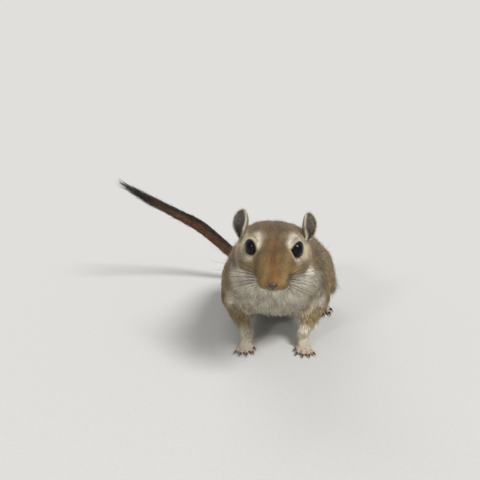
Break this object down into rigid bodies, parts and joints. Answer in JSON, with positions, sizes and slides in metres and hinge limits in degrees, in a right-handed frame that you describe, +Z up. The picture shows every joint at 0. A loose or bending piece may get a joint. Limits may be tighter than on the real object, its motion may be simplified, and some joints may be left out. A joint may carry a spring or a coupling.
{
  "type": "mongolian gerbil, still model",
  "caption": "Life-size gerbil crouching on all four feet, head raised and looking ahead, tail swung out to its right and up behind it.",
  "frame": {"origin": "centre of the bounding box at the level of the soles", "axes": "+Z up, -Y the way the gerbil looks, +X its left side"},
  "size_m": [0.1134, 0.1332, 0.0653],
  "materials": {
    "fur_sandy": "short soft fur, sandy brown with dark ticking",
    "fur_cream": "short soft fur, cream below and sandy above",
    "fur_tail": "close reddish brown fur with a dark line on top",
    "fur_tuft": "longer near-black fur",
    "skin_ear": "thin grey-pink skin with fine down",
    "skin_foot": "pale skin with thin short fur and dark claws",
    "eye_black": "wet gloss"
  },
  "bodies": {
    "root": {"head": "fur_sandy", "neck": "fur_cream", "torso": "fur_sandy", "ear_left": "skin_ear", "ear_right": "skin_ear", "eye_left": "eye_black", "eye_right": "eye_black", "foreleg_left": "fur_sandy", "foreleg_right": "fur_sandy", "forefoot_left": "skin_foot", "forefoot_right": "skin_foot", "thigh_left": "fur_sandy", "thigh_right": "fur_sandy", "hindfoot_left": "skin_foot", "hindfoot_right": "skin_foot", "tail_base": "fur_tail", "tail_middle": "fur_tail", "tail_tuft": "fur_tuft"}
  },
  "joints": []
}
